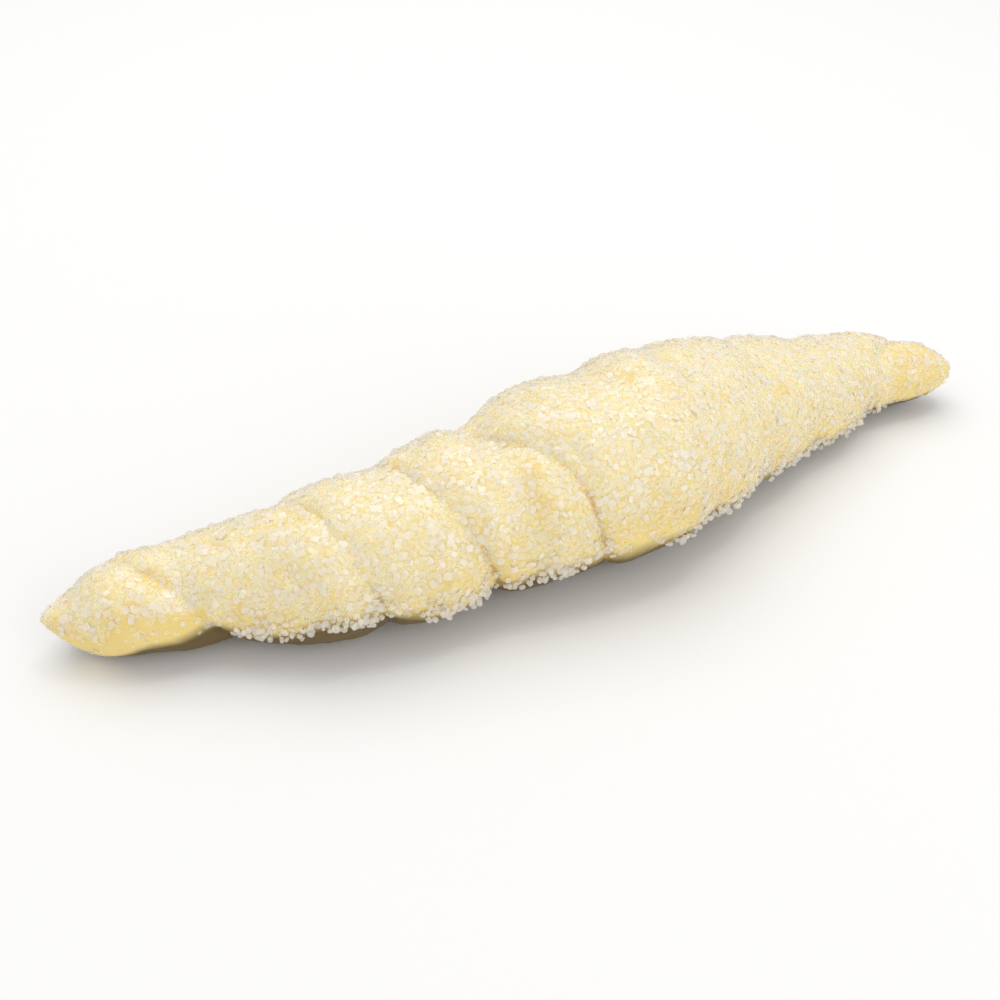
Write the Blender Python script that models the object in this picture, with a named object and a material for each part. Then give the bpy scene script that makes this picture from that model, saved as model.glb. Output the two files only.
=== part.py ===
"""Rolled pastry horn, closed at both ends and thickly covered with coarse sugar.

One strip of dough is rolled from its wide end to its point, so nine wraps climb in steps from both tips to the
broad wrap in the middle. The roll lies along X, flat on Z = 0, and its gentle bend bows out towards -Y.
"""

import math
import random

import bmesh
import bpy
from mathutils import Vector, noise

# Size of the bare dough, in metres; angles are in degrees round the roll
HALF_LENGTH = 0.070
HEIGHT_SHARE = 0.86
SINK_SHARE = 0.94

# Half the width of the roll at places along its length, over the crowns of the wraps
CROWNS = (
    (-0.070, 0.0062), (-0.064, 0.0073), (-0.056, 0.0072), (-0.045, 0.0088), (-0.036, 0.0107),
    (-0.028, 0.0113), (-0.0215, 0.0121), (-0.017, 0.0127), (-0.0135, 0.0122), (-0.009, 0.0134),
    (-0.004, 0.0143), (0.004, 0.0142), (0.010, 0.0147), (0.014, 0.0144), (0.022, 0.0131),
    (0.035, 0.0107), (0.048, 0.0083), (0.056, 0.0069), (0.063, 0.0061), (0.070, 0.0058),
)
WIDEST_HALF = max(half for _, half in CROWNS)

# Sideways place of the roll's middle at places along its length
BEND = (
    (-0.070, 0.0030), (-0.060, 0.0020), (-0.045, -0.0010), (-0.038, -0.0031), (-0.030, -0.0038),
    (-0.015, -0.0031), (-0.006, -0.0024), (0.002, -0.0026), (0.015, -0.0002), (0.022, 0.0020),
    (0.030, 0.0041), (0.045, 0.0068), (0.058, 0.0087), (0.070, 0.0049),
)

# How far the roll's middle is lifted near its tips
TIP_LIFTS = (
    (-0.070, 0.0015), (-0.0665, -0.0003), (-0.062, -0.0001), (-0.058, 0.0005), (-0.053, 0.0), (-0.051, 0.0),
    (0.044, 0.0), (0.046, 0.0), (0.056, 0.0006), (0.070, 0.0010),
)

# Each tip is rounded over this length, and this power sets how blunt it is
NEAR_TIP_LENGTH = 0.014
NEAR_TIP_POWER = 0.73
FAR_TIP_LENGTH = 0.0110
FAR_TIP_POWER = 0.69

# The strip's two edges: where each lap crosses the top, the shoulder and the front, and how deep it is
# on the top and at the front
NEAR_EDGE_LAPS = (
    (-0.0575, -0.0534, -0.0505, 0.0010, 0.0018),
    (-0.0364, -0.0342, -0.0317, 0.0011, 0.0017),
    (-0.0238, -0.0204, -0.0175, 0.0011, 0.0023),
    (-0.0114, -0.0056, -0.0033, 0.0014, 0.0014),
)
FAR_EDGE_LAPS = (
    (0.0596, 0.0552, 0.0528, 0.0014, 0.0011),
    (0.0412, 0.0403, 0.0392, 0.0007, 0.0009),
    (0.0287, 0.0295, 0.0274, 0.0008, 0.0010),
    (0.0148, 0.0178, 0.0160, 0.0008, 0.0010),
)
NEAR_EDGE_START = -0.066
FAR_EDGE_START = 0.067
APEX_X = 0.007
EDGE_START_ANGLE = 0.0
TOP_ANGLE = 180.0
SHOULDER_ANGLE = 225.0
FRONT_ANGLE = 270.0
SHALLOW_ANGLE = 150.0
DEEP_ANGLE = 280.0
APEX_TURN = 150.0
FULL_TURN = 360.0

# A wrap's own rounded lip, and the long slope of the wrap before it down to that lip
LIP_WIDTH = 0.0040
SLOPE_WIDTH = 0.0080

# Low unevenness of hand-rolled dough
LUMP_HEIGHT = 0.00030
LUMP_SIZE = 0.0075

# Mesh lines round the roll, and their shares of the way across an end wrap, a side wrap and the middle wrap
SIDES = 36
TIP_SHARES = (0.015, 0.06, 0.14, 0.26, 0.42, 0.60, 0.80)
SIDE_SHARES = (0.0, 0.045, 0.13, 0.28, 0.48, 0.70, 0.88)
MIDDLE_SHARES = (0.0, 0.03, 0.09, 0.20, 0.34, 0.50, 0.66, 0.80, 0.91, 0.97)
BLEND_BACK = 60.0
BLEND_FRONT = 310.0

# Sugar: the largest crystals only, spread evenly, with closer rows along the lower front rims
CRYSTAL_SEED = 11
CRYSTAL_TRIALS = 420
RIM_CRYSTAL_COUNT = 42
CRYSTAL_SMALLEST = 0.0010
CRYSTAL_LARGEST = 0.0016
CRYSTAL_GAP = 0.0026
CRYSTAL_SUNK = 0.38
CRYSTAL_LENGTH_SHARE = 1.25
CRYSTAL_SLANT = 0.18
CRYSTAL_LOWEST = 0.0004
PLACE_JITTER = 0.0005
ANGLE_JITTER = 8.0
GOLDEN_ANGLE = 137.50776
BARE_UNDERSIDE = 52.0
BARE_END_X = -0.0535
BARE_END_ANGLES = (262.0, 330.0)
RIM_ANGLES = (278.0, 304.0)
RIM_STRETCHES = ((-0.050, -0.019), (0.020, 0.057))
SUGAR_REACH = 0.067

# Steps over which a surface normal is measured
STEP_X = 0.0006
STEP_ANGLE = 3.0

DOUGH_COLOR = (0.83, 0.72, 0.46, 1.0)
DOUGH_ROUGHNESS = 0.65


def clear_scene():
    for thing in list(bpy.data.objects):
        bpy.data.objects.remove(thing, do_unlink=True)


def smooth_value(place, knots):
    """Value at a place on the smooth curve through (place, value) knots, level past both ends."""
    if place <= knots[0][0]:
        return knots[0][1]
    if place >= knots[-1][0]:
        return knots[-1][1]
    low = max(i for i, knot in enumerate(knots) if knot[0] <= place)
    step = knots[low + 1][0] - knots[low][0]
    share = (place - knots[low][0]) / step
    start = (2 * share ** 3 - 3 * share ** 2 + 1) * knots[low][1]
    end = (3 * share ** 2 - 2 * share ** 3) * knots[low + 1][1]
    start += (share ** 3 - 2 * share ** 2 + share) * step * knot_slope(low, knots)
    end += (share ** 3 - share ** 2) * step * knot_slope(low + 1, knots)
    return start + end


def knot_slope(index, knots):
    """Slope at a knot: that of the parabola through it and its two neighbours."""
    if index == 0 or index == len(knots) - 1:
        first = min(index, len(knots) - 2)
        return (knots[first + 1][1] - knots[first][1]) / (knots[first + 1][0] - knots[first][0])
    before = knots[index][0] - knots[index - 1][0]
    after = knots[index + 1][0] - knots[index][0]
    slope_before = (knots[index][1] - knots[index - 1][1]) / before
    slope_after = (knots[index + 1][1] - knots[index][1]) / after
    return (slope_before * after + slope_after * before) / (before + after)


def edge_knots(laps, start_x):
    """Total angle against x, and against depth, along one edge of the strip from its start to its point."""
    route = [(EDGE_START_ANGLE, start_x)]
    depths = [(EDGE_START_ANGLE, 0.0)]
    for turn, (top, shoulder, front, shallow, deep) in enumerate(laps):
        base = FULL_TURN * turn
        route += [(TOP_ANGLE + base, top), (SHOULDER_ANGLE + base, shoulder), (FRONT_ANGLE + base, front)]
        depths += [(SHALLOW_ANGLE + base, shallow), (DEEP_ANGLE + base, deep)]
    end = route[-1][0] + APEX_TURN
    route.append((end, APEX_X))
    depths.append((end, 0.0))
    return route, depths


NEAR_EDGE = edge_knots(NEAR_EDGE_LAPS, NEAR_EDGE_START)
FAR_EDGE = edge_knots(FAR_EDGE_LAPS, FAR_EDGE_START)


def crease_drop(offset):
    """Share of a crease's depth at an offset from it: a round lip on the wrap's side, a slope on the other."""
    if offset >= 0:
        across = min(offset / LIP_WIDTH, 1.0)
        return 1 - math.sqrt(1 - (1 - across) ** 2)
    across = min(-offset / SLOPE_WIDTH, 1.0)
    return (1 - across) ** 2


def crease_depth(x, angle):
    """How far the surface lies under the crowns here, from every lap of both edges."""
    total = 0.0
    for (route, depths), side in ((NEAR_EDGE, 1), (FAR_EDGE, -1)):
        for turn in range(len(NEAR_EDGE_LAPS) + 1):
            theta = angle + FULL_TURN * turn
            if route[0][0] < theta < route[-1][0]:
                offset = side * (x - smooth_value(theta, route))
                total += max(smooth_value(theta, depths), 0.0) * crease_drop(offset)
    return total


def tip_share(x):
    """From 0 at a tip to 1 where the roll has its full width."""
    near = min((x + HALF_LENGTH) / NEAR_TIP_LENGTH, 1.0)
    far = min((HALF_LENGTH - x) / FAR_TIP_LENGTH, 1.0)
    near_share = (1 - (1 - near) ** 2) ** NEAR_TIP_POWER
    return near_share * (1 - (1 - far) ** 2) ** FAR_TIP_POWER


def middle_height(x):
    """Height of the roll's middle above the surface that it lies on."""
    return SINK_SHARE * HEIGHT_SHARE * smooth_value(x, CROWNS) + smooth_value(x, TIP_LIFTS)


def surface_point(x, angle):
    """Point of the dough: angle 0 is underneath, 90 behind, 180 on top and 270 in front."""
    half_width = smooth_value(x, CROWNS)
    turn = math.radians(angle)
    across, up = math.sin(turn), -math.cos(turn)
    lump = LUMP_HEIGHT * noise.noise(Vector((x, half_width * across, half_width * up)) / LUMP_SIZE)
    inset = crease_depth(x, angle) - lump
    share = tip_share(x)
    y = smooth_value(x, BEND) + share * (half_width - inset) * across
    z = middle_height(x) + share * (half_width * HEIGHT_SHARE - inset) * up
    return Vector((x, y, max(z, 0.0)))


def wrap_edges(angle):
    """The x of the tips and of the eight creases between them, at this angle."""
    near = [smooth_value(angle + FULL_TURN * turn, NEAR_EDGE[0]) for turn in range(len(NEAR_EDGE_LAPS))]
    far = [smooth_value(angle + FULL_TURN * turn, FAR_EDGE[0]) for turn in range(len(FAR_EDGE_LAPS))]
    return [-HALF_LENGTH] + near + far[::-1] + [HALF_LENGTH]


def blended_edges(angle):
    """The same edges, drawn together underneath so that the mesh lines close on themselves."""
    closed = [(a + b) / 2 for a, b in zip(wrap_edges(0.0), wrap_edges(FULL_TURN))]
    if angle < BLEND_BACK:
        share = angle / BLEND_BACK
    elif angle > BLEND_FRONT:
        share = (FULL_TURN - angle) / (FULL_TURN - BLEND_FRONT)
    else:
        share = 1.0
    share = share * share * (3 - 2 * share)
    return [a + (b - a) * share for a, b in zip(closed, wrap_edges(angle))]


def line_places(angle):
    """The x of every mesh line at this angle, from the near tip to the far tip."""
    edges = blended_edges(angle)
    middle = len(edges) // 2 - 1
    places = []
    for wrap in range(len(edges) - 1):
        if wrap == 0:
            shares = TIP_SHARES
        elif wrap < middle:
            shares = SIDE_SHARES
        elif wrap == middle:
            shares = MIDDLE_SHARES
        elif wrap == len(edges) - 2:
            shares = (0.0,) + tuple(1 - share for share in reversed(TIP_SHARES))
        else:
            shares = (0.0,) + tuple(1 - share for share in reversed(SIDE_SHARES[1:]))
        places += [edges[wrap] + (edges[wrap + 1] - edges[wrap]) * share for share in shares]
    return places


def material():
    made = bpy.data.materials.new("sugared_dough")
    made.use_nodes = True
    shader = made.node_tree.nodes["Principled BSDF"]
    shader.inputs["Base Color"].default_value = DOUGH_COLOR
    shader.inputs["Roughness"].default_value = DOUGH_ROUGHNESS
    shader.inputs["Metallic"].default_value = 0.0
    return made


def mesh_object(name, shape, collection):
    """A bmesh turned into an object in a collection."""
    mesh = bpy.data.meshes.new(name)
    shape.to_mesh(mesh)
    shape.free()
    made = bpy.data.objects.new(name, mesh)
    collection.objects.link(made)
    return made


def make_dough():
    """The rolled strip as one closed mesh of rings, with a single point at each tip."""
    shape = bmesh.new()
    angles = [FULL_TURN * side / SIDES for side in range(SIDES)]
    columns = []
    for angle in angles:
        columns.append([shape.verts.new(surface_point(x, angle)) for x in line_places(angle)])
    near_tip = shape.verts.new(surface_point(-HALF_LENGTH, 0.0))
    far_tip = shape.verts.new(surface_point(HALF_LENGTH, 0.0))
    for side, column in enumerate(columns):
        following = columns[(side + 1) % SIDES]
        shape.faces.new((near_tip, column[0], following[0]))
        shape.faces.new((far_tip, following[-1], column[-1]))
        for row in range(len(column) - 1):
            shape.faces.new((column[row], column[row + 1], following[row + 1], following[row]))
    bmesh.ops.triangulate(shape, faces=shape.faces)
    bmesh.ops.recalc_face_normals(shape, faces=shape.faces)
    return mesh_object("pastry", shape, bpy.context.scene.collection)


def is_bare(x, angle):
    """Where the roll carries no large crystals: underneath, and the lower face of its near end."""
    underneath = angle < BARE_UNDERSIDE or angle > FULL_TURN - BARE_UNDERSIDE
    low_end = x < BARE_END_X and BARE_END_ANGLES[0] < angle < BARE_END_ANGLES[1]
    return underneath or low_end


def crystal_places(draw):
    """Places for the crystals, none closer than the gap: rows on the rims, then an even spiral of the rest."""
    wanted = []
    for index in range(RIM_CRYSTAL_COUNT):
        low, high = RIM_STRETCHES[index % len(RIM_STRETCHES)]
        wanted.append((draw.uniform(low, high), draw.uniform(*RIM_ANGLES)))
    for index in range(CRYSTAL_TRIALS):
        x = SUGAR_REACH * (2 * (index + 0.5) / CRYSTAL_TRIALS - 1)
        angle = GOLDEN_ANGLE * index + draw.uniform(-ANGLE_JITTER, ANGLE_JITTER)
        if draw.random() < smooth_value(x, CROWNS) / WIDEST_HALF:
            wanted.append((x + draw.uniform(-PLACE_JITTER, PLACE_JITTER), angle % FULL_TURN))
    places = []
    for x, angle in wanted:
        point = surface_point(x, angle)
        if is_bare(x, angle) or any((point - other[0]).length < CRYSTAL_GAP for other in places):
            continue
        places.append((point, x, angle))
    return places


def surface_normal(x, angle):
    """Direction out of the dough at a place on it."""
    along = surface_point(x + STEP_X, angle) - surface_point(x - STEP_X, angle)
    around = surface_point(x, angle + STEP_ANGLE) - surface_point(x, angle - STEP_ANGLE)
    normal = along.cross(around).normalized()
    middle = Vector((x, smooth_value(x, BEND), middle_height(x)))
    if normal.dot(surface_point(x, angle) - middle) < 0:
        normal.negate()
    return normal


def make_crystal(index, place, draw, collection):
    """One slanted block of sugar, turned at random and partly sunk in the dough."""
    point, x, angle = place
    size = draw.uniform(CRYSTAL_SMALLEST, CRYSTAL_LARGEST)
    shape = bmesh.new()
    bmesh.ops.create_cube(shape, size=1.0)
    stretch = (size * CRYSTAL_LENGTH_SHARE, size * draw.uniform(0.75, 1.0), size * draw.uniform(0.7, 0.95))
    turn = Vector([draw.uniform(-1, 1) for _ in stretch]).to_track_quat("Z", "Y").to_matrix()
    centre = point + surface_normal(x, angle) * size * (0.5 - CRYSTAL_SUNK)
    for corner in shape.verts:
        corner.co.x += CRYSTAL_SLANT * 2 * corner.co.z
        corner.co = turn @ Vector([side * length for side, length in zip(corner.co, stretch)]) + centre
        corner.co.z = max(corner.co.z, CRYSTAL_LOWEST)
    bmesh.ops.triangulate(shape, faces=shape.faces)
    return mesh_object(f"crystal_{index:03d}", shape, collection)


def fuse_sugar(dough):
    """Joins all the crystals to the dough in one union, and removes them as objects."""
    draw = random.Random(CRYSTAL_SEED)
    sugar = bpy.data.collections.new("sugar")
    bpy.context.scene.collection.children.link(sugar)
    for index, place in enumerate(crystal_places(draw)):
        make_crystal(index, place, draw, sugar)
    union = dough.modifiers.new("sugar", "BOOLEAN")
    union.operation = "UNION"
    union.solver = "EXACT"
    union.operand_type = "COLLECTION"
    union.collection = sugar
    bpy.context.view_layer.update()
    fused = bpy.data.meshes.new_from_object(dough.evaluated_get(bpy.context.evaluated_depsgraph_get()))
    dough.modifiers.clear()
    dough.data = fused
    for crystal in list(sugar.objects):
        bpy.data.objects.remove(crystal, do_unlink=True)
    bpy.data.collections.remove(sugar)


def main():
    clear_scene()
    dough = make_dough()
    fuse_sugar(dough)
    dough.data.materials.clear()
    dough.data.materials.append(material())
    dough.data.shade_smooth()
    dough.data.set_sharp_from_angle(angle=math.radians(50))


main()
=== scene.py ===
"""Looks of a rolled pastry horn under coarse sugar, laid out as a Blender add-on and run as a script."""

import math

import bmesh
import bpy
import numpy as np
from bpy.props import FloatProperty, FloatVectorProperty, IntProperty, PointerProperty
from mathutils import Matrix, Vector, noise


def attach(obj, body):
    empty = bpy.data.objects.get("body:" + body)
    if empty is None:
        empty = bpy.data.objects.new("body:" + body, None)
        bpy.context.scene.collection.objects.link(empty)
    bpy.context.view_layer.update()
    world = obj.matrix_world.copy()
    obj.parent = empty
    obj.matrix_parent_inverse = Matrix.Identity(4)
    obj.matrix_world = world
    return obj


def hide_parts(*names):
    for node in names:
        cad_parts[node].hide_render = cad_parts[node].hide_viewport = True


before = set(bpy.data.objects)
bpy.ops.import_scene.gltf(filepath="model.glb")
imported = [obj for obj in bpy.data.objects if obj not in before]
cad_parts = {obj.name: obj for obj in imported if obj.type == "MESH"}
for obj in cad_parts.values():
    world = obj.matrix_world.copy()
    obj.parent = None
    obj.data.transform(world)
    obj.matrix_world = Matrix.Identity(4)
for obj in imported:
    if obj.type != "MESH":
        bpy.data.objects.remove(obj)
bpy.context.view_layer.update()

bl_info = {
    "name": "Sugared pastry roll",
    "version": (1, 0, 0),
    "blender": (4, 5, 0),
    "location": "3D View > Sidebar > Pastry",
    "description": "Rolls a pale dough horn and coats it with coarse sugar crystals",
    "category": "Object",
}

DOUGH = "rolled_dough"

# Form of the roll in metres and degrees, as the solid has it
HALF_LENGTH = 0.070
HEIGHT_SHARE = 0.86
SINK_SHARE = 0.94

# Half width of the roll: (x, half width)
CROWNS = (
    (-0.070, 0.0062), (-0.064, 0.0073), (-0.056, 0.0072), (-0.045, 0.0088), (-0.036, 0.0107),
    (-0.028, 0.0113), (-0.0215, 0.0121), (-0.017, 0.0127), (-0.0135, 0.0122), (-0.009, 0.0134),
    (-0.004, 0.0143), (0.004, 0.0142), (0.010, 0.0147), (0.014, 0.0144), (0.022, 0.0131),
    (0.035, 0.0107), (0.048, 0.0083), (0.056, 0.0069), (0.063, 0.0061), (0.070, 0.0058),
)

# Bend of the middle line sideways: (x, y)
BEND = (
    (-0.070, 0.0030), (-0.060, 0.0020), (-0.045, -0.0010), (-0.038, -0.0031), (-0.030, -0.0038),
    (-0.015, -0.0031), (-0.006, -0.0024), (0.002, -0.0026), (0.015, -0.0002), (0.022, 0.0020),
    (0.030, 0.0041), (0.045, 0.0068), (0.058, 0.0087), (0.070, 0.0049),
)

# Rise of the middle line towards the tips: (x, lift)
TIP_LIFTS = (
    (-0.070, 0.0015), (-0.0665, -0.0003), (-0.062, -0.0001), (-0.058, 0.0005), (-0.053, 0.0), (-0.051, 0.0),
    (0.044, 0.0), (0.046, 0.0), (0.056, 0.0006), (0.070, 0.0010),
)

# Rounding of the two tips
NEAR_TIP_LENGTH = 0.014
NEAR_TIP_POWER = 0.73
FAR_TIP_LENGTH = 0.0110
FAR_TIP_POWER = 0.69

# Laps of the strip's edges: x at the top, the shoulder and the front, then depth behind and in front
NEAR_EDGE_LAPS = (
    (-0.0575, -0.0534, -0.0505, 0.0010, 0.0018),
    (-0.0364, -0.0342, -0.0317, 0.0011, 0.0017),
    (-0.0238, -0.0204, -0.0175, 0.0011, 0.0023),
    (-0.0114, -0.0056, -0.0033, 0.0014, 0.0014),
)
FAR_EDGE_LAPS = (
    (0.0596, 0.0552, 0.0528, 0.0014, 0.0011),
    (0.0412, 0.0403, 0.0392, 0.0007, 0.0009),
    (0.0287, 0.0295, 0.0274, 0.0008, 0.0010),
    (0.0148, 0.0178, 0.0160, 0.0008, 0.0010),
)

# Where the strip's edges start and meet, and the angles that the laps are given at
NEAR_EDGE_START = -0.066
FAR_EDGE_START = 0.067
APEX_X = 0.007
EDGE_START_ANGLE = 0.0
TOP_ANGLE = 180.0
SHOULDER_ANGLE = 225.0
FRONT_ANGLE = 270.0
SHALLOW_ANGLE = 150.0
DEEP_ANGLE = 280.0
APEX_TURN = 150.0
FULL_TURN = 360.0

# Profile of a crease, broad lumps, and the blend of the mesh lines underneath
LIP_WIDTH = 0.0040
SLOPE_WIDTH = 0.0080
LUMP_HEIGHT = 0.00030
LUMP_SIZE = 0.0075
BLEND_BACK = 60.0
BLEND_FRONT = 310.0

# Mesh lines across each wrap, and round the roll
END_LINES = 44
SIDE_LINES = 42
MIDDLE_LINES = 70
SIDES = 216
LIP_CROWDING = 1.45

# Cracks in the creases: (share of the crack's depth, angle where it starts, angle where it is full)
NEAR_CRACKS = ((0.55, 240.0, 285.0), (0.30, 240.0, 290.0), (1.00, 235.0, 275.0), (0.80, 205.0, 235.0))
FAR_CRACKS = ((0.35, 190.0, 250.0), (0.10, 230.0, 280.0), (0.10, 230.0, 280.0), (0.10, 230.0, 280.0))

# How creases are filled, softened, made uneven and broken, and how the dough swells
SHOULDER_FILL = 0.42
SHOULDER_REACH = 28.0
NEAR_CREASE_FILL = 0.12
NEAR_CREASE_SOFTNESS = 0.62
FAR_CREASE_FILL = 0.10
FAR_CREASE_SOFTNESS = 0.55
VALLEY_WIDTH = 0.0045
CREASE_WOBBLE = 0.00045
CREASE_WOBBLE_SIZE = 0.0030
CRACK_BREAK_SIZE = 0.0020
CRACK_BREAK_MIDDLE = 0.62
CRACK_BREAK_SWING = 1.5
CRACK_BREAK_LEAST = 0.05
SWELL_HEIGHT = 0.00016
SWELL_SIZE = 0.0028

# Where the sugar is thin: (x from, x to, angle from, angle to, share left), with soft borders
THIN_SUGAR = (
    (-0.0625, -0.0518, 248.0, 345.0, 0.09),
    (-0.080, -0.0615, 264.0, 345.0, 0.09),
    (0.0575, 0.080, 150.0, 345.0, 0.45),
    (-0.002, 0.0150, 268.0, 330.0, 0.40),
    (-0.0170, -0.0130, 255.0, 318.0, 0.75),
    (-0.050, -0.046, 258.0, 300.0, 0.65),
)
THIN_BORDER_X = 0.0012
THIN_BORDER_ANGLE = 11.0
FRONT_THINNING = 0.45
FRONT_REACH = 50.0
TIP_COVER = 0.3

# Border of the bare underside in front: (x, angle), then its border behind and its wavy edge
UNDERSIDE_EDGE = (
    (-0.070, 340.0), (-0.064, 328.0), (-0.062, 305.0), (-0.060, 291.0), (-0.055, 277.0), (-0.052, 268.0),
    (-0.050, 268.0), (-0.047, 279.0), (-0.042, 283.0), (-0.0395, 272.0), (-0.037, 275.0), (-0.034, 280.0),
    (-0.028, 284.0), (-0.0245, 295.0), (-0.020, 297.0), (-0.015, 290.0), (-0.0125, 285.0), (-0.008, 290.0),
    (-0.004, 291.0), (0.004, 289.0), (0.012, 291.0), (0.022, 297.0), (0.030, 298.0), (0.055, 296.0),
)
UNDERSIDE_BACK = 62.0
UNDERSIDE_BORDER = 6.0
UNDERSIDE_SHARE = 0.01
UNDERSIDE_WAVE = 6.0
UNDERSIDE_WAVE_SIZE = 0.0025
UNDERSIDE_LIMIT = -2.0
# Painted shade on the underside: the dough is darkened over this many degrees, starting this many degrees
# above the border of the bare underside
UNDERSIDE_FADE = 16.0
UNDERSIDE_FADE_START = 8.0

# Thinner spots and small bare patches in the coat
THIN_SPOT_SIZE = 0.0030
THIN_SPOT_START = 0.02
THIN_SPOT_FADE = 0.30
THIN_SPOT_LOSS = 0.3
PATCH_SIZE = 0.0042
PATCH_DETAIL_SIZE = 0.0017
PATCH_DETAIL_SHARE = 0.55
PATCH_START = 0.42
PATCH_FADE = 0.16
PATCH_LOSS = 0.6
PATCH_MORE_BELOW = 0.17
PATCH_TOP_ANGLE = 25.0
PATCH_TOP_FADE = 60.0
CRACK_LOSS = 0.5

# Where each kind of noise is read, so that no two are alike
SHIFTS = {
    "wobble": 5.0,
    "dents": 11.0,
    "swells": 17.0,
    "crack": 23.0,
    "patches": 31.0,
    "patch_detail": 37.0,
    "underside": 41.0,
    "thin_spots": 43.0,
}

# Rows of clumped crystals on the lower front rims: (x from, x to, middle angle, clumps)
RIM_ROWS = (
    (-0.0480, -0.0405, 276.0, 9),
    (-0.0400, -0.0320, 272.0, 9),
    (-0.0270, -0.0185, 285.0, 9),
    (-0.0150, -0.0030, 286.0, 7),
    (0.0090, 0.0300, 296.0, 12),
    (0.0300, 0.0550, 295.0, 16),
)
RIM_SPREAD_ANGLE = 5.0
RIM_CLUMP_SPREAD = 0.0009
RIM_CLUMP_SMALLEST = 3
RIM_CLUMP_LARGEST = 7
RIM_CLUMP_TRIES = 3
RIM_OVERHANG = 4.0
RIM_JITTER = 0.0006
RIM_RADIUS = 0.010
RIM_MIDDLE_DROP = 0.003
RIM_SIZE_SHARE = 0.9
RIM_SIZE_SPREAD = 0.18
RIM_LEAST_LIFT = 0.1
RIM_MOST_LIFT = 0.75
RIM_CLOSENESS = 0.40
RIM_CUT = 0.24

# Form of a crystal, as shares of its width
BLOCK_CUT = 0.15
PEBBLE_RADIUS = 0.56
STRETCHES = ((1.0, 1.4), (0.8, 1.1), (0.65, 0.95))
SLANT = 0.22
ROUGHENING = 0.08
SIZE_SPREAD = 0.16
SINK_SPREAD = 0.12
LOWEST_CORNER = 0.00005
LOWEST_SAMPLE = 0.0004
TINY = 1e-12

# How far each facet's shading leans towards the dough's, less on some crystals so that they glint
EVENNESS = 0.75
GLINT_EVENNESS = 0.35
GLINT_SHARE = 0.2
EVENNESS_RISE = 3.0

# Coats of sugar: name, places tried for each crystal, closeness, share sunk, how much it keeps to the top
MILKY_COAT = ("sugar_milky", 4.0, 0.42, 0.44, 1.0)
COARSE_COAT = ("sugar_coarse", 3.0, 0.42, 0.50, 0.5)
MEDIUM_COAT = ("sugar_medium", 2.5, 0.38, 0.46, 0.35)
FINE_COAT = ("sugar_fine", 3.0, 0.34, 0.42, 0.2)
SPACING_SHARE = 1.25

# Lamps: place, width and colour
KEY_PLACE = (0.02, 0.22, 0.55)
KEY_WIDTH = 0.55
KEY_COLOR = (1.0, 0.985, 0.96)
FILL_PLACE = (0.22, -0.60, 0.35)
FILL_WIDTH = 0.50
FILL_COLOR = (1.0, 0.99, 0.97)
GLINT_PLACE = (0.19, 0.04, 0.56)
GLINT_WIDTH = 0.05
GLINT_COLOR = (1.0, 0.99, 0.97)
LAMP_TARGET = (0.0, 0.0, 0.01)
FLOOR_HALF = 2.0

# Camera: sensor in millimetres, and the nearest and farthest it sees
SENSOR_WIDTH = 36.0
CLIP_START = 0.01
CLIP_END = 20.0

# Finish of the dough: scales are per metre, and ranges are where a share rises from 0 to 1
GRAIN_SCALE = 1700.0
GRAIN_FILM_RANGE = (-0.70, 0.75)
FILM_RANGE = (0.15, 0.85)
BLOTCH_SCALE = 260.0
BLOTCH_RANGE = (0.38, 0.66)
BLOTCH_SHADE = 0.95
CRACK_RANGE = (0.15, 0.9)
DOUGH_ROUGHNESS = 0.5
DOUGH_SPECULAR = 0.2
DOUGH_SUBSURFACE = 0.45
DOUGH_SUBSURFACE_RADIUS = (1.0, 0.62, 0.30)
DOUGH_SUBSURFACE_SCALE = 0.0022
PRESSED_HEIGHT = -0.8
CRUMB_SCALE = 2400.0
CRUMB_DETAIL = 5.0
CRUMB_SHARE = 0.5
DOUGH_BUMP = 0.6
DOUGH_BUMP_DISTANCE = 0.00018

# Finish of the sugar and the floor
CLOUD_SCALE = 1800.0
CLOUD_RANGE = (0.35, 0.75)
SUGAR_ROUGHNESS = 0.15
SUGAR_IOR = 1.85
SUGAR_BUMP = 0.35
SUGAR_BUMP_DISTANCE = 0.00005
SUGAR_BUMP_SCALE = 5200.0
SUGAR_BUMP_DETAIL = 2.0
FLOOR_ROUGHNESS = 0.9


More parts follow.
